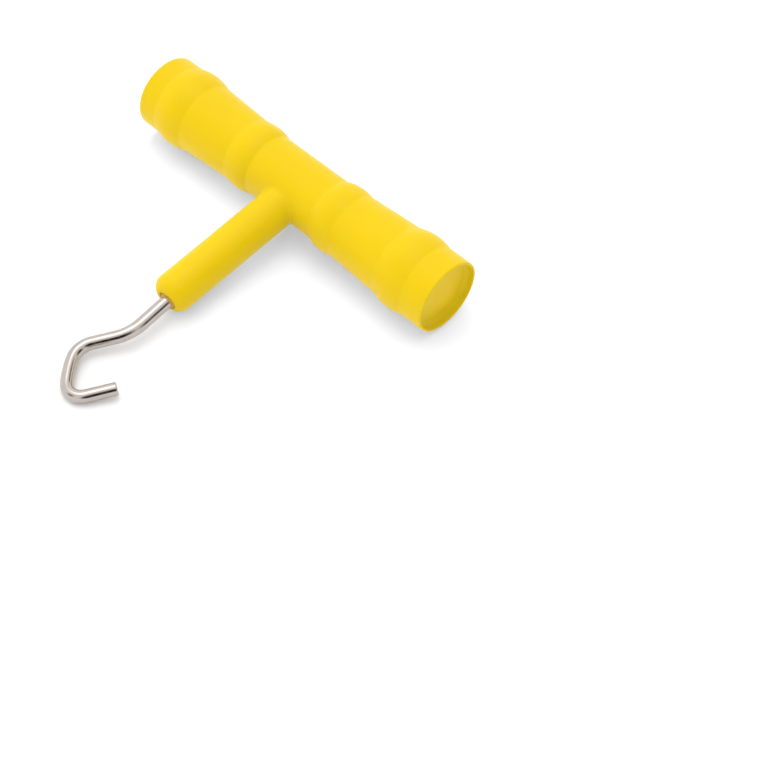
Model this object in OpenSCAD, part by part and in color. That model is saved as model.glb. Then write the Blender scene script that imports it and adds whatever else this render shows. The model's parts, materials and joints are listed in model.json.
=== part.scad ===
// T-handle pull hook: a moulded crossbar and stem, and a bent wire hook glued into the stem.
// The tool lies as it rests on a table: the outer rings of the crossbar and the outside of the
// hook touch the plane z = 0. The crossbar lies along X, and the hook points towards -Y.
// The origin is the centre of the whole tool's bounding box, on the table.

/* [Crossbar] */
// Length of the crossbar, end to end
bar_length = 87.4; // [80:0.2:96]
// Sideways place of the rings' common middle, from the middle of the crossbar
ring_offset = -0.7; // [-2:0.1:2]
// Radius of the crossbar in the middle, between the inner rings
waist_radius = 7.4; // [7:0.1:8]
// Radius of the crossbar at its ends
end_radius = 8.7; // [8.2:0.1:9.2]
// Distance from the rings' common middle to the inner rings
inner_ring_x = 12.7; // [12.5:0.1:16]
// How far the inner rings stand out of the crossbar
inner_ring_height = 0.54; // [0.3:0.02:1]
// Distance from the rings' common middle to the outer rings
outer_ring_x = 34.1; // [31:0.1:35]
// How far the outer rings stand out of the crossbar
outer_ring_height = 0.6; // [0.5:0.05:1.1]
// Half the width of an inner ring, measured along the crossbar
inner_ring_reach = 3.5; // [2.5:0.1:4]
// Half the width of an outer ring, measured along the crossbar
outer_ring_reach = 4; // [2.5:0.1:4.5]
// Radius of the rounded edge at each end of the crossbar
end_round = 0.3; // [0.1:0.1:0.4]
// Radius of the recess in each end of the crossbar, at its mouth
recess_radius = 8.1; // [6.5:0.1:8.2]
// Depth of the recess in each end of the crossbar
recess_depth = 2; // [0.8:0.1:3]
// How far the recess's curved wall reaches inwards from its mouth
recess_wall = 1.2; // [0.8:0.1:3]

/* [Stem] */
// Sideways place of the stem, from the middle of the crossbar
stem_offset = -0.5; // [-2:0.1:2]
// Radius of the stem
stem_radius = 4.55; // [4.4:0.05:5.2]
// Distance from the crossbar's axis to the end of the stem
stem_length = 40.5; // [36:0.5:46]
// Radius of the rounded edge at the end of the stem
stem_round = 2.8; // [0.8:0.1:3]

/* [Socket] */
// Clearance between the wire and the socket, on each side
socket_gap = 0.2; // [0.1:0.05:0.4]
// Radius of the socket's widened mouth
mouth_radius = 2.1; // [2:0.1:2.9]
// Depth of the socket's widened mouth
mouth_depth = 1.8; // [1:0.1:3]
// Depth of the whole socket, from the end of the stem
socket_depth = 36; // [25:1:37]

/* [Wire] */
// Radius of the wire
wire_radius = 1.5; // [1.4:0.05:1.6]
// Sideways place of the wire's axis in the socket's mouth
mouth_offset = 0.6; // [0:0.1:0.9]
// Lean of the wire against the stem, in degrees
wire_lean = 2.7; // [0:0.1:3]
// Length of the straight stretch outside the stem
shank_length = 7.4; // [5:0.1:12]
// Turn of the first bend, away from the hook's opening, in degrees
crook_turn = 34.6; // [20:0.1:40]
// Centreline radius of the first bend
crook_radius = 10.8; // [6:0.1:14]
// Length of the straight stretch after the first bend
offset_length = 4.85; // [3:0.05:9]
// Turn of the second bend, in degrees
shoulder_turn = 65; // [50:1:80]
// Centreline radius of the second bend
shoulder_radius = 5.1; // [3:0.1:8]
// Turn of the slightly bowed back of the hook, in degrees
back_turn = 12.5; // [5:0.5:20]
// Centreline radius of the bowed back of the hook
back_radius = 26; // [20:0.1:40]
// Turn of the last bend, at the bottom of the hook, in degrees
return_turn = 103.5; // [90:0.5:110]
// Centreline radius of the last bend
return_radius = 3.2; // [2.5:0.1:5]
// Length of the straight tip
tip_length = 6.8; // [5:0.1:9]
// Size of the broken edge at the cut tip
tip_bevel = 0.3; // [0.1:0.05:0.5]

/* [Hidden] */
$fn = 64;
// Length of the pinched stretch at the wire's inner end, and how deep each pinched flat is
pinch_length = 7;
pinch_depth = 0.45;
// Gap between the wire's inner end and the bottom of the socket
socket_floor_gap = 0.5;
// How far the adhesive's bead rises out of the mouth of the socket, and how wide it is there
bead_rise = 0.4;
bead_radius = wire_radius + 0.35;
// Step between the points of the crossbar's outline, and between those of its round corners, in degrees
outline_step = 0.7;
arc_step = 15;
// Overlap that keeps a cut clear of the face it starts from
cut = 1;
// How much thinner the wire is in its bends, and how far a straight stretch runs into the bend beside it
bend_thinning = 0.04;
lap = 0.1;
// Length of the short straight stretches between two bends that turn the same way
between_bends = 0.3;

socket_radius = wire_radius + socket_gap;
inner_length = socket_depth - socket_floor_gap;

// The bends that follow the shank, each [straight before it, turn, centreline radius].
// A positive turn goes towards +X.
bends = [
    [shank_length, -crook_turn, crook_radius],
    [offset_length, shoulder_turn, shoulder_radius],
    [between_bends, back_turn, back_radius],
    [between_bends, return_turn, return_radius],
];

// A place on the wire is [x, y, heading]: the heading is 0 along -Y and grows towards +X.
function ahead(place, distance) =
    [place[0] + distance * sin(place[2]), place[1] - distance * cos(place[2]), place[2]];
function bend_centre(place, turn, radius) =
    [for (i = [0:1]) place[i] + sign(turn) * radius * [cos(place[2]), sin(place[2])][i]];
function round_bend(place, turn, radius) =
    let (centre = bend_centre(place, turn, radius), heading = place[2] + turn)
    [centre[0] - sign(turn) * radius * cos(heading), centre[1] - sign(turn) * radius * sin(heading), heading];
function place_before(i) =
    i == 0 ? ahead([mouth_offset, -stem_length, wire_lean], bends[0][0])
           : ahead(round_bend(place_before(i - 1), bends[i - 1][1], bends[i - 1][2]), bends[i][0]);

// The hook's lowest point in the flat, on the wire's centreline, and the tool's resting tilt
last_bend = len(bends) - 1;
hook_reach = return_radius - bend_centre(place_before(last_bend), return_turn, return_radius)[1];

// Radius of the crossbar along its length, measured from the rings' middle: straight in the middle, a cone
// from the inner rings to the outer ones, straight again to the end, and two rings that swell like shallow arcs
cone_start = 9;
function cone(x) =
    let (share = (x - cone_start) / (outer_ring_x - cone_start))
    waist_radius + (end_radius - waist_radius) * max(0, min(1, share));
function ring(x, middle, reach, height) =
    max(0, height * (1 - pow((x - middle) / reach, 2)));
function bar_radius(x) =
    cone(x) + ring(x, inner_ring_x, inner_ring_reach, inner_ring_height)
            + ring(x, outer_ring_x, outer_ring_reach, outer_ring_height);

contact_radius = bar_radius(outer_ring_x);
rest_tilt = asin((contact_radius - wire_radius) / hook_reach);
y_shift = (hook_reach * cos(rest_tilt) + wire_radius - contact_radius) / 2;

module at_rest() {
    translate([stem_offset, y_shift, contact_radius])
        rotate([rest_tilt, 0, 0])
            children();
}

// Places its children where the wire leaves the stem, with the wire running along -Y
module at_mouth() {
    translate([mouth_offset, -stem_length, 0])
        rotate([0, 0, wire_lean])
            children();
}

// The outline of the part of the crossbar to one side of the rings' middle, as [radius, distance from that middle]
module bar_outline(length) {
    shoulder = length - end_round;
    side = [for (x = [0:outline_step:shoulder - outline_step / 2]) [bar_radius(x), x]];
    edge = [for (a = [0:arc_step:90])
        [bar_radius(shoulder) - end_round * (1 - cos(a)), shoulder + end_round * sin(a)]];
    wall = [for (a = [0:arc_step:90])
        [recess_radius - recess_wall * (1 - cos(a)), length - recess_depth * sin(a)]];
    polygon(concat([[0, 0]], side, edge, wall, [[0, length - recess_depth]]));
}

module crossbar() {
    translate([ring_offset - stem_offset, 0, 0])
        for (side = [-1, 1])
            mirror([side < 0 ? 1 : 0, 0, 0])
                rotate([0, 90, 0])
                    rotate_extrude()
                        bar_outline(bar_length / 2 - side * ring_offset);
}

module stem() {
    rotate([90, 0, 0]) {
        cylinder(r = stem_radius, h = stem_length - stem_round);
        translate([0, 0, stem_length - stem_round])
            rotate_extrude()
                intersection() {
                    square([stem_radius, stem_round]);
                    union() {
                        square([stem_radius - stem_round, stem_round]);
                        translate([stem_radius - stem_round, 0])
                            circle(r = stem_round);
                    }
                }
    }
}

module socket() {
    at_mouth()
        rotate([-90, 0, 0]) {
            cylinder(r = socket_radius, h = socket_depth);
            translate([0, 0, -cut])
                cylinder(r = mouth_radius, h = mouth_depth + cut);
        }
}

module handle() {
    color("gold")
        at_rest()
            difference() {
                union() {
                    crossbar();
                    stem();
                }
                socket();
            }
}

// A straight stretch along -Y from one place to another, measured from where it starts
module stretch(from, to) {
    translate([0, -from, 0])
        rotate([90, 0, 0])
            cylinder(r = wire_radius, h = to - from);
}

// One bend of the wire, and its children where the bend ends
module bend(turn, radius) {
    middle = sign(turn) * radius;
    translate([middle, 0, 0]) {
        rotate([0, 0, turn > 0 ? 180 : turn])
            rotate_extrude(angle = abs(turn))
                translate([radius, 0])
                    circle(r = wire_radius - bend_thinning);
        rotate([0, 0, turn])
            translate([-middle, 0, 0])
                children();
    }
}

// The straight shank: the stretch inside the stem, with two flats pinched into its end, and the
// stretch outside it as far as the first bend
module shank() {
    flat_height = wire_radius - pinch_depth;
    difference() {
        stretch(-inner_length, shank_length + lap);
        for (side = [0, 1])
            mirror([0, 0, side])
                translate([-wire_radius, inner_length - pinch_length, flat_height])
                    cube([2 * wire_radius, pinch_length + cut, cut]);
    }
}

// The cut tip, with its edge broken
module tip() {
    bevel_start = tip_length - tip_bevel;
    stretch(-lap, bevel_start);
    translate([0, -bevel_start, 0])
        rotate([90, 0, 0])
            cylinder(r1 = wire_radius, r2 = wire_radius - tip_bevel, h = tip_bevel);
}

// Bend number i and all that follows it
module bends_from(i) {
    bend(bends[i][1], bends[i][2])
        if (i == last_bend) {
            tip();
        } else {
            next = bends[i + 1][0];
            stretch(-lap, next + lap);
            translate([0, -next, 0])
                bends_from(i + 1);
        }
}

module hook() {
    color("silver")
        at_rest()
            at_mouth() {
                shank();
                translate([0, -shank_length, 0])
                    bends_from(0);
            }
}

module adhesive() {
    color("peru")
        at_rest()
            at_mouth()
                difference() {
                    rotate([-90, 0, 0]) {
                        cylinder(r = socket_radius, h = socket_depth);
                        cylinder(r = mouth_radius, h = mouth_depth);
                        translate([0, 0, -bead_rise])
                            cylinder(r1 = bead_radius, r2 = mouth_radius, h = bead_rise);
                    }
                    shank();
                }
}

handle();
hook();
adhesive();
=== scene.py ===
"""A T-handle pull hook lying on a pale floor: a yellow moulded grip and a bent, plated wire hook.

The handle, the wire and the adhesive are modelled here as finished meshes over the CAD pieces of the same
name. Lengths are in millimetres in the tool's own flat frame, where the crossbar's axis is X, the stem runs
along -Y, the wire lies in the plane z = 0 and the rings' common middle is x = 0. REST turns them into metres
in the row's frame.
"""
import json
import math

import bpy
import numpy as np
from mathutils import Matrix, Vector


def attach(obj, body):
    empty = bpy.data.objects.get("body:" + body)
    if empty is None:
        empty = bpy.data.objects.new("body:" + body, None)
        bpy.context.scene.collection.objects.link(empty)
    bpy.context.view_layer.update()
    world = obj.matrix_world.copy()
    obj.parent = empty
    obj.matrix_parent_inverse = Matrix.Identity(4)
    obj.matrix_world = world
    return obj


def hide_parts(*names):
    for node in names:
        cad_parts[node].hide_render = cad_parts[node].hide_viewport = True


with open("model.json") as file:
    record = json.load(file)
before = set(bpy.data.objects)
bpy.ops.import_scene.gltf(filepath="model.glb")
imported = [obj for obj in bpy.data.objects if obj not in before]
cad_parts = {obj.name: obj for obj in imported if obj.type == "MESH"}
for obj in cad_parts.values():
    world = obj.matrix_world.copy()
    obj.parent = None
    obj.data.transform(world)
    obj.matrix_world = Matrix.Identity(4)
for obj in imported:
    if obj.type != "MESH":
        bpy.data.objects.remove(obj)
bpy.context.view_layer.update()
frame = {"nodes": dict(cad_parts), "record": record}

# ---------------------------------------------------------------- driving dimensions, in mm
LEFT_LENGTH = 43.0
RIGHT_LENGTH = 44.4
RINGS_OFFSET = (LEFT_LENGTH - RIGHT_LENGTH) / 2
WAIST_RADIUS = 7.4
END_RADIUS = 8.7
CONE_START = 9.0
# The rings: distance from x = 0 to the middle, reach towards x = 0 and away from it, and height
INNER_RING = dict(middle=12.5, inboard=2.8, outboard=3.7, height=0.54)
OUTER_RING = dict(middle=34.1, inboard=4.0, outboard=4.0, height=0.6)
RING_CREASE = 0.015
END_ROUND = 0.3
RECESS_RADIUS = 8.1
RECESS_DEPTH = 2.0
RECESS_WALL = 1.2
RIM_ROUND = 0.2

STEM_X = 0.2
STEM_RADIUS = 4.55
STEM_LENGTH = 40.5
STEM_ROUND = 2.8
JUNCTION_BLEND = 0.6

LIP_MIDDLE = (-1.2, -40.2, 1.75)
LIP_REACH = (1.3, 0.65, 0.5)
LIP_BLEND = 0.12
SOCKET_RADIUS = 1.7
SOCKET_DEPTH = 36.0
SOCKET_FLOOR_ROUND = 0.2
MOUTH_RADIUS = 2.1
MOUTH_DEPTH = 1.8
MOUTH_FLOOR_ROUND = 0.5
MOUTH_EDGE_ROUND = 0.25

# The slight waviness of the moulding: its height, and the rate and phase of its waves along x, y and z
SHRINKAGE = 0.035
SHRINKAGE_WAVES = ((0.31, 1.3), (0.42, 0.5), (0.37, 0.9))

WIRE_RADIUS = 1.5
MOUTH_X = 0.8
WIRE_LEAN = math.radians(2.7)
SHANK_LENGTH = 7.4
INNER_LENGTH = 35.5
TIP_LENGTH = 6.8
# Each bend: the straight before it, its turn in degrees (positive towards +X), its centreline radius
BENDS = ((SHANK_LENGTH, -34.6, 10.8), (4.85, 65.0, 5.1), (0.3, 12.5, 26.0), (0.3, 103.5, 3.2))

MM = 0.001


# ---------------------------------------------------------------- the tool's resting place
def mount(name):
    return next(m for m in frame["record"]["mounts"] if m["name"] == name)


def rest_matrix():
    """From the flat frame in mm to the row's frame in metres."""
    down_stem = Vector(mount("hook_seat")["axis"]).normalized()
    along = Vector((1, 0, 0))
    across = -down_stem
    turn = Matrix((along, across, along.cross(across))).transposed().to_4x4()
    origin = Vector(mount("grip")["pos_m"]) + RINGS_OFFSET * MM * along
    return Matrix.Translation(origin) @ turn @ Matrix.Scale(MM, 4)


REST = rest_matrix()


# ---------------------------------------------------------------- solids as functions, negative inside
def round_corner(a, b, radius):
    """What two solids share, with the edge between them rounded to that radius."""
    a, b = a + radius, b + radius
    return np.minimum(np.maximum(a, b), 0) + np.hypot(np.maximum(a, 0), np.maximum(b, 0)) - radius


def smooth_union(a, b, blend):
    share = np.clip(0.5 + 0.5 * (b - a) / blend, 0, 1)
    return b + (a - b) * share - blend * share * (1 - share)


def ring_swell(x, middle, inboard, outboard, height):
    """A shallow arc standing out of the crossbar, with creases that are only a little softened."""
    reach = np.where(x < middle, inboard, outboard)
    swell = height * (1 - ((x - middle) / reach) ** 2)
    return (swell + np.sqrt(swell**2 + RING_CREASE**2)) / 2


def bar_radius(x):
    """Radius of the crossbar: a straight middle, a cone as far as the outer ring, and two rings."""
    share = np.clip((x - CONE_START) / (OUTER_RING["middle"] - CONE_START), 0, 1)
    plain = WAIST_RADIUS + (END_RADIUS - WAIST_RADIUS) * share
    return plain + ring_swell(x, **INNER_RING) + ring_swell(x, **OUTER_RING)


def crossbar(x, y, z):
    out = np.abs(x)
    from_axis = np.hypot(y, z)
    from_end = out - np.where(x < 0, LEFT_LENGTH, RIGHT_LENGTH)
    body = round_corner(from_axis - bar_radius(out), from_end, END_ROUND)
    recess = round_corner(from_axis - RECESS_RADIUS, -from_end - RECESS_DEPTH, RECESS_WALL)
    return round_corner(body, -recess, RIM_ROUND)


def stem(x, y, z):
    below_bar = round_corner(np.hypot(x - STEM_X, z) - STEM_RADIUS, -y - STEM_LENGTH, STEM_ROUND)
    return np.maximum(below_bar, y)


def lip(x, y, z):
    """The small raised lip that the moulding has at the socket, above the wire."""
    shares = [(v - m) / r for v, m, r in zip((x, y, z), LIP_MIDDLE, LIP_REACH)]
    return (np.sqrt(sum(share**2 for share in shares)) - 1) * min(LIP_REACH)


def in_socket(x, y, z):
    """Distance from the wire's axis, and depth into the stem from its end."""
    x, y = x - MOUTH_X, y + STEM_LENGTH
    side = x * math.cos(WIRE_LEAN) + y * math.sin(WIRE_LEAN)
    return np.hypot(side, z), y * math.cos(WIRE_LEAN) - x * math.sin(WIRE_LEAN)


def socket(x, y, z):
    from_axis, depth = in_socket(x, y, z)
    bore = round_corner(from_axis - SOCKET_RADIUS, depth - SOCKET_DEPTH, SOCKET_FLOOR_ROUND)
    mouth = round_corner(from_axis - MOUTH_RADIUS, depth - MOUTH_DEPTH, MOUTH_FLOOR_ROUND)
    return np.minimum(bore, mouth)


def shrinkage(x, y, z):
    """The slight waviness that a thick moulding takes on as it cools."""
    waves = [np.sin(rate * v + phase) for v, (rate, phase) in zip((x, y, z), SHRINKAGE_WAVES)]
    return SHRINKAGE * waves[0] * waves[1] * waves[2]


def handle_solid(x, y, z):
    shank = smooth_union(stem(x, y, z), lip(x, y, z), LIP_BLEND)
    grip = smooth_union(crossbar(x, y, z), shank, JUNCTION_BLEND)
    return round_corner(grip, -socket(x, y, z), MOUTH_EDGE_ROUND) + shrinkage(x, y, z)


# ---------------------------------------------------------------- meshes
GRADIENT_STEP = 0.01
LEAST_STEEPNESS = 0.05
EVENING_SHARE = 0.5


def gradient(solid, points):
    slopes = []
    for axis in range(3):
        shift = np.zeros(3)
        shift[axis] = GRADIENT_STEP
        slopes.append((solid(*(points + shift).T) - solid(*(points - shift).T)) / (2 * GRADIENT_STEP))
    return np.stack(slopes, 1)


def onto_surface(solid, points, passes=3):
    """The points moved onto the solid's surface, by Newton steps along its gradient."""
    for _ in range(passes):
        slope = gradient(solid, points)
        steepness = np.maximum((slope**2).sum(1), LEAST_STEEPNESS)
        points = points - (solid(*points.T) / steepness)[:, None] * slope
    return points


def evened(points, edges):
    """Each point moved part of the way to the middle of its neighbours."""
    total, count = np.zeros_like(points), np.zeros(len(points))
    for a, b in ((0, 1), (1, 0)):
        np.add.at(total, edges[:, a], points[edges[:, b]])
        np.add.at(count, edges[:, a], 1)
    return points + EVENING_SHARE * (total / np.maximum(count, 1)[:, None] - points)


def points_of(mesh):
    points = np.zeros(len(mesh.vertices) * 3, np.float32)
    mesh.vertices.foreach_get("co", points)
    return points.reshape(-1, 3).astype(float)


def voxel_copy(node, voxel):
    """The CAD node's mesh in the flat frame, remade in even quads of that size in mm."""
    mesh = frame["nodes"][node].data.copy()
    mesh.materials.clear()
    mesh.transform(REST.inverted())
    obj = bpy.data.objects.new("remesh_" + node, mesh)
    bpy.context.scene.collection.objects.link(obj)
    remesh = obj.modifiers.new("voxels", "REMESH")
    remesh.mode = "VOXEL"
    remesh.voxel_size = voxel
    even = bpy.data.meshes.new_from_object(obj.evaluated_get(bpy.context.evaluated_depsgraph_get()))
    bpy.data.objects.remove(obj)
    return even


def piece(name, mesh, material, node):
    """Places a finished piece, given in the flat frame, that stands for a CAD node."""
    mesh.transform(REST)
    mesh.name = name
    mesh.materials.append(material)
    for polygon in mesh.polygons:
        polygon.use_smooth = True
    obj = bpy.data.objects.new(name, mesh)
    bpy.context.scene.collection.objects.link(obj)
    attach(obj, "root")
    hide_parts(node)


def tube_mesh(name, rings):
    """A closed mesh over a list of rings of points, with a point added to close each end."""
    count = len(rings[0])
    verts = [tuple(p) for ring in rings for p in ring]
    faces = []
    for i in range(len(rings) - 1):
        for k in range(count):
            n = (k + 1) % count
            faces.append((i * count + k, i * count + n, (i + 1) * count + n, (i + 1) * count + k))
    for start, flip in ((0, True), ((len(rings) - 1) * count, False)):
        middle = len(verts)
        verts.append(tuple(np.mean(verts[start:start + count], axis=0)))
        for k in range(count):
            pair = (start + k, start + (k + 1) % count)
            faces.append((*(pair[::-1] if flip else pair), middle))
    mesh = bpy.data.meshes.new(name)
    mesh.from_pydata(verts, [], faces)
    return mesh


# ---------------------------------------------------------------- the handle
VOXEL = 0.3
EVENING_PASSES = 4


def build_handle():
    """The CAD handle in even quads, moved onto the handle's own function, with that function's normals."""
    mesh = voxel_copy("handle", VOXEL)
    edges = np.array([e.vertices for e in mesh.edges])
    points = onto_surface(handle_solid, points_of(mesh))
    for _ in range(EVENING_PASSES):
        points = onto_surface(handle_solid, evened(points, edges), passes=1)
    points = onto_surface(handle_solid, points)
    mesh.vertices.foreach_set("co", points.astype(np.float32).ravel())
    piece("grip_moulding", mesh, plastic(), "handle")
    normals = gradient(handle_solid, points)
    normals /= np.linalg.norm(normals, axis=1)[:, None]
    turn = np.array(REST.to_3x3().normalized())
    mesh.normals_split_custom_set_from_vertices((normals @ turn.T).tolist())


# ---------------------------------------------------------------- the wire
# Distance between the stations along the wire, and how many of them lie between two rings of points
STATION = 0.1
RING_EVERY = 3
RING_POINTS = 48
# How softly the bends begin and end, and how far from its station that softening reaches
EASING = 0.45
EASING_REACH = 4 * EASING
# How much the bending flattens the wire's sides, and over what length past the shank that grows
FLATTENING = 0.07
FLATTENING_RUN = 4.0
# The flats pinched into the inner end: their length, and half the thickness between them
PINCH_LENGTH = 7.0
PINCHED_HALF = 1.05
TIP_ROUND = 0.3
TIP_ANGLES = (0, 18, 36, 54, 72, 90)
TIP_FACE_INSETS = (0.06, 0.5)


def along(heading):
    return np.array((math.sin(heading), -math.cos(heading), 0.0))


def across(heading):
    return np.array((math.cos(heading), math.sin(heading), 0.0))


def wire_line():
    """Points and headings every STATION mm along the wire, with each bend's start and end eased."""
    stretches = [(INNER_LENGTH, 0)]
    for straight, turn, radius in BENDS:
        curvature = math.copysign(1 / radius, turn)
        stretches += [(straight, 0), (abs(math.radians(turn)) * radius, curvature)]
    stretches.append((TIP_LENGTH, 0))
    ends = np.cumsum([length for length, _ in stretches])
    count = round(ends[-1] / STATION)
    middles = (np.arange(count) + 0.5) * ends[-1] / count
    curvature = np.array([c for _, c in stretches])[np.searchsorted(ends, middles)]
    reach = np.arange(-EASING_REACH, EASING_REACH + STATION / 2, STATION)
    weights = np.exp(-((reach / EASING) ** 2) / 2)
    curvature = np.convolve(curvature, weights / weights.sum(), "same")
    step = ends[-1] / count
    headings = WIRE_LEAN + np.concatenate(([0], np.cumsum(curvature * step)))
    point = np.array((MOUTH_X, -STEM_LENGTH, 0.0)) - INNER_LENGTH * along(WIRE_LEAN)
    points = [point]
    for i in range(count):
        point = point + step * along((headings[i] + headings[i + 1]) / 2)
        points.append(point)
    return np.array(points), headings, step


def wire_ring(point, heading, flat, pinched, inset=0.0):
    """A ring of points round the wire, its sides drawn in by flat and the whole ring by inset."""
    ring = []
    for k in range(RING_POINTS):
        angle = 2 * math.pi * k / RING_POINTS
        side = (WIRE_RADIUS - flat - inset) * math.cos(angle)
        rise = (WIRE_RADIUS - inset) * math.sin(angle)
        if pinched:
            rise = max(-PINCHED_HALF, min(PINCHED_HALF, rise))
        ring.append(point + side * across(heading) + np.array((0, 0, rise)))
    return ring


def build_wire():
    points, headings, step = wire_line()
    total = step * (len(points) - 1)
    rings = []
    for i in range(0, len(points), RING_EVERY):
        travelled = i * step
        if travelled > total - TIP_ROUND:
            break
        past_shank = travelled - INNER_LENGTH - SHANK_LENGTH
        flat = FLATTENING * min(1, max(0, past_shank / FLATTENING_RUN))
        rings.append(wire_ring(points[i], headings[i], flat, travelled < PINCH_LENGTH))
    end, heading = points[-1], headings[-1]
    for angle in np.radians(TIP_ANGLES):
        back = TIP_ROUND * (1 - math.sin(angle))
        inset = TIP_ROUND * (1 - math.cos(angle))
        rings.append(wire_ring(end - back * along(heading), heading, FLATTENING, False, inset))
    for inset in TIP_FACE_INSETS:
        rings.append(wire_ring(end, heading, FLATTENING, False, TIP_ROUND + inset))
    piece("wire_hook", tube_mesh("wire_hook", rings), plated_steel(), "hook")


# ---------------------------------------------------------------- the adhesive
BEAD_POINTS = 72
BEAD_STEPS = 10
# How far the bead climbs the wire, how deep in the mouth its rim starts, and how hollow its slope is
BEAD_RISE = 0.35
BEAD_DEPTH = 0.4
BEAD_HOLLOW = 1.6
BEAD_FIRST_SHARE = 0.15
# How far the adhesive reaches into the wire, and stays clear of the socket's wall and floor
WIRE_LAP = 0.02
WALL_GAP = 0.01
FLOOR_GAP = 0.6


def bead_profile(angle):
    """[distance from the wire's axis, depth into the stem] round one slice of the adhesive."""
    swell = 1 + 0.25 * math.sin(angle + 0.6) + 0.15 * math.sin(3 * angle + 2)
    rise = BEAD_RISE * min(1, 0.75 * swell)
    inside = WIRE_RADIUS - WIRE_LAP
    sleeve = SOCKET_RADIUS - WALL_GAP
    cup = MOUTH_RADIUS - WALL_GAP
    bottom = SOCKET_DEPTH - FLOOR_GAP
    profile = [(inside, bottom), (sleeve, bottom), (sleeve, MOUTH_DEPTH), (cup, MOUTH_DEPTH)]
    for share in np.linspace(BEAD_FIRST_SHARE, 1, BEAD_STEPS):
        out = cup + (inside - cup) * share
        profile.append((out, BEAD_DEPTH * (1 - share) - rise * share**BEAD_HOLLOW))
    return profile


def build_adhesive():
    mouth = np.array((MOUTH_X, -STEM_LENGTH, 0.0))
    inwards = -along(WIRE_LEAN)
    slices = []
    for k in range(BEAD_POINTS):
        angle = 2 * math.pi * k / BEAD_POINTS
        outwards = math.cos(angle) * across(WIRE_LEAN) + math.sin(angle) * np.array((0, 0, 1))
        slices.append([mouth + out * outwards + depth * inwards for out, depth in bead_profile(angle)])
    count = len(slices[0])
    verts = [tuple(p) for one in slices for p in one]
    faces = []
    for i in range(BEAD_POINTS):
        for k in range(count):
            j, n = (i + 1) % BEAD_POINTS, (k + 1) % count
            faces.append((i * count + k, j * count + k, j * count + n, i * count + n))
    mesh = bpy.data.meshes.new("adhesive_bead")
    mesh.from_pydata(verts, [], faces)
    piece("adhesive_bead", mesh, amber_adhesive(), "adhesive")


# ---------------------------------------------------------------- materials
PLASTIC_COLORS = ((0.87, 0.59, 0.0), (0.80, 0.555, 0.0))
# Rays scattered by a diffuse surface meet the plastic in this grey, so that no yellow spills onto the floor
SPILL_GREY = (0.6, 0.6, 0.6)
STEEL_COLORS = ((0.53, 0.485, 0.45), (0.43, 0.38, 0.345))
ADHESIVE_COLORS = ((0.66, 0.36, 0.05), (0.42, 0.20, 0.03))
# The noise's values that give the lowest and the highest roughness
NOISE_LOW = 0.3
NOISE_HIGH = 0.7


def new_material(name, color, **sockets):
    """A Principled material. Returns the material, its node tree and its shader."""
    material = bpy.data.materials.new(name)
    material.use_nodes = True
    shader = material.node_tree.nodes["Principled BSDF"]
    shader.inputs["Base Color"].default_value = (*color, 1)
    for socket, value in sockets.items():
        shader.inputs[socket.replace("_", " ")].default_value = value
    return material, material.node_tree, shader


def noise(tree, scale, detail):
    """Noise fixed to the piece, with scale in features per metre."""
    place = tree.nodes.new("ShaderNodeTexCoord")
    texture = tree.nodes.new("ShaderNodeTexNoise")
    texture.inputs["Scale"].default_value = scale
    texture.inputs["Detail"].default_value = detail
    tree.links.new(place.outputs["Object"], texture.inputs["Vector"])
    return texture.outputs["Fac"]


def bump(tree, shader, height, distance, strength):
    node = tree.nodes.new("ShaderNodeBump")
    node.inputs["Distance"].default_value = distance
    node.inputs["Strength"].default_value = strength
    tree.links.new(height, node.inputs["Height"])
    tree.links.new(node.outputs["Normal"], shader.inputs["Normal"])


def blend_colors(tree, share, first, second):
    """A colour between two, by a share that is a socket. Each colour is a socket too, or three numbers."""
    mix = tree.nodes.new("ShaderNodeMix")
    mix.data_type = "RGBA"
    tree.links.new(share, mix.inputs["Factor"])
    for name, color in (("A", first), ("B", second)):
        if isinstance(color, tuple):
            mix.inputs[name].default_value = (*color, 1)
        else:
            tree.links.new(color, mix.inputs[name])
    return mix.outputs["Result"]


def vary_roughness(tree, shader, share, lowest, highest):
    spread = tree.nodes.new("ShaderNodeMapRange")
    spread.inputs["From Min"].default_value = NOISE_LOW
    spread.inputs["From Max"].default_value = NOISE_HIGH
    spread.inputs["To Min"].default_value = lowest
    spread.inputs["To Max"].default_value = highest
    tree.links.new(share, spread.inputs["Value"])
    tree.links.new(spread.outputs["Result"], shader.inputs["Roughness"])


def plastic():
    gloss = dict(IOR=1.46, Specular_IOR_Level=0.18)
    material, tree, shader = new_material("yellow_plastic", PLASTIC_COLORS[0], **gloss)
    mottled = blend_colors(tree, noise(tree, scale=110, detail=3), *PLASTIC_COLORS)
    path = tree.nodes.new("ShaderNodeLightPath")
    color = blend_colors(tree, path.outputs["Is Diffuse Ray"], mottled, SPILL_GREY)
    tree.links.new(color, shader.inputs["Base Color"])
    vary_roughness(tree, shader, noise(tree, scale=260, detail=3), lowest=0.36, highest=0.48)
    bump(tree, shader, noise(tree, scale=900, detail=3), distance=0.00002, strength=0.25)
    return material


def plated_steel():
    material, tree, shader = new_material("plated_wire", STEEL_COLORS[0], Metallic=1.0)
    color = blend_colors(tree, noise(tree, scale=420, detail=4), *STEEL_COLORS)
    tree.links.new(color, shader.inputs["Base Color"])
    vary_roughness(tree, shader, noise(tree, scale=900, detail=3), lowest=0.14, highest=0.24)
    bump(tree, shader, noise(tree, scale=1500, detail=3), distance=0.00001, strength=0.3)
    return material


def amber_adhesive():
    material, tree, shader = new_material("cured_adhesive", ADHESIVE_COLORS[0], IOR=1.5)
    color = blend_colors(tree, noise(tree, scale=1400, detail=3), *ADHESIVE_COLORS)
    tree.links.new(color, shader.inputs["Base Color"])
    vary_roughness(tree, shader, noise(tree, scale=700, detail=2), lowest=0.15, highest=0.35)
    bump(tree, shader, noise(tree, scale=2000, detail=2), distance=0.00003, strength=0.4)
    return material


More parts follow.
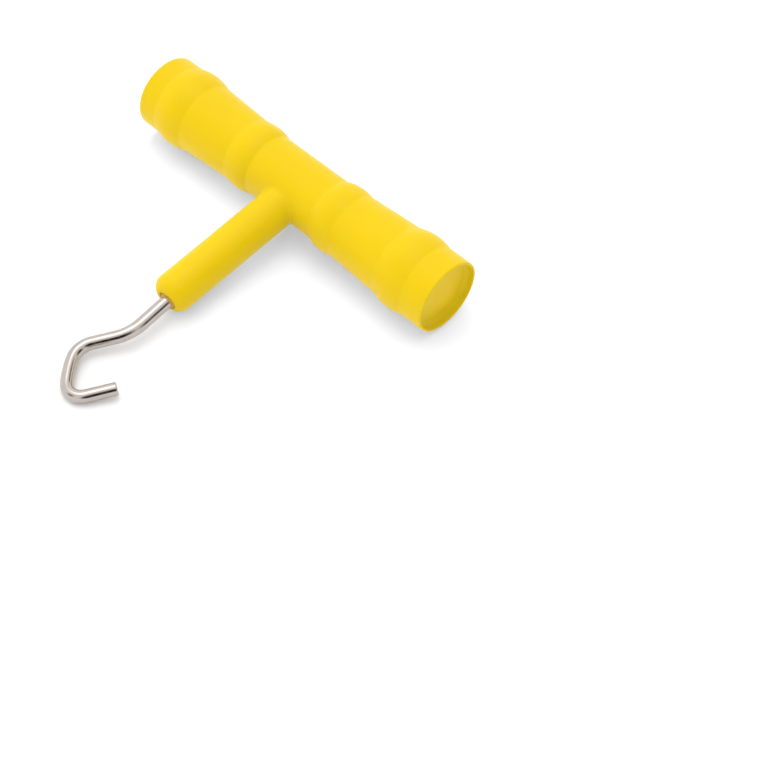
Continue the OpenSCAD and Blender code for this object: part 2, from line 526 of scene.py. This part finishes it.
# ---------------------------------------------------------------- floor, light and camera
# Lengths are in metres from here on, apart from the camera's lens and sensor, which are in mm
FLOOR_SIDE = 6.0
FLOOR_COLOR = (0.9, 0.9, 0.9)
FLOOR_GLOW = 0.14
SKY = 1.22
# Soft patches of sky: the direction of the middle, inner and outer radius in degrees, and brightness
PATCHES = (
    ((-0.18, 0.06, 0.95), 12, 24, 2.9),
    ((0.75, -0.42, 0.49), 15, 30, 0.0),
    ((0.75, 0.45, 0.40), 9, 26, 0.05),
    ((-0.25, -0.81, 0.5), 6, 18, 0.2),
    ((0.14, 0.77, 0.58), 6, 15, 0.2),
)

# The camera looks at AIM, from a place AIM_DISTANCE away in the direction of AZIMUTH and ELEVATION
AIM = Vector((0.04557, 0.01004, 0.00006))
AIM_DISTANCE = 0.3788
AZIMUTH = math.radians(41.20)
ELEVATION = math.radians(52.28)
ROLL = math.radians(3.22)
LENS = 84.8
SENSOR_WIDTH = 36
CLIP_START = 0.01


def add_floor():
    mesh = bpy.data.meshes.new("floor")
    half = FLOOR_SIDE / 2
    corners = [(-half, -half, 0), (half, -half, 0), (half, half, 0), (-half, half, 0)]
    mesh.from_pydata(corners, [], [(0, 1, 2, 3)])
    material, _, shader = new_material("floor", FLOOR_COLOR, Roughness=1.0, Specular_IOR_Level=0.0)
    shader.inputs["Emission Color"].default_value = (1, 1, 1, 1)
    shader.inputs["Emission Strength"].default_value = FLOOR_GLOW
    mesh.materials.append(material)
    floor = bpy.data.objects.new("floor", mesh)
    bpy.context.scene.collection.objects.link(floor)


def add_sky():
    """An even sky with brighter and darker patches, which light the tool and show in the wire."""
    world = bpy.data.worlds.new("studio")
    bpy.context.scene.world = world
    world.use_nodes = True
    tree = world.node_tree
    place = tree.nodes.new("ShaderNodeTexCoord")
    light = None
    for middle, inner, outer, brightness in PATCHES:
        dot = tree.nodes.new("ShaderNodeVectorMath")
        dot.operation = "DOT_PRODUCT"
        dot.inputs[1].default_value = Vector(middle).normalized()
        tree.links.new(place.outputs["Generated"], dot.inputs[0])
        fade = tree.nodes.new("ShaderNodeMapRange")
        fade.interpolation_type = "SMOOTHSTEP"
        fade.inputs["From Min"].default_value = math.cos(math.radians(outer))
        fade.inputs["From Max"].default_value = math.cos(math.radians(inner))
        tree.links.new(dot.outputs["Value"], fade.inputs["Value"])
        mix = tree.nodes.new("ShaderNodeMix")
        mix.inputs["A"].default_value = SKY
        mix.inputs["B"].default_value = brightness
        tree.links.new(fade.outputs["Result"], mix.inputs["Factor"])
        if light:
            tree.links.new(light, mix.inputs["A"])
        light = mix.outputs["Result"]
    tree.links.new(light, tree.nodes["Background"].inputs["Strength"])
    tree.nodes["Background"].inputs["Color"].default_value = (1, 1, 1, 1)


def add_camera():
    level = math.cos(ELEVATION)
    back = Vector((math.sin(AZIMUTH) * level, -math.cos(AZIMUTH) * level, math.sin(ELEVATION)))
    data = bpy.data.cameras.new("camera")
    data.lens = LENS
    data.sensor_width = SENSOR_WIDTH
    data.clip_start = CLIP_START
    camera = bpy.data.objects.new("camera", data)
    turn = back.to_track_quat("Z", "Y").to_matrix() @ Matrix.Rotation(ROLL, 3, "Z")
    camera.matrix_world = Matrix.Translation(AIM + AIM_DISTANCE * back) @ turn.to_4x4()
    bpy.context.scene.collection.objects.link(camera)
    bpy.context.scene.camera = camera


build_handle()
build_wire()
build_adhesive()
add_floor()
add_sky()
add_camera()
bpy.context.scene.view_settings.view_transform = "Standard"
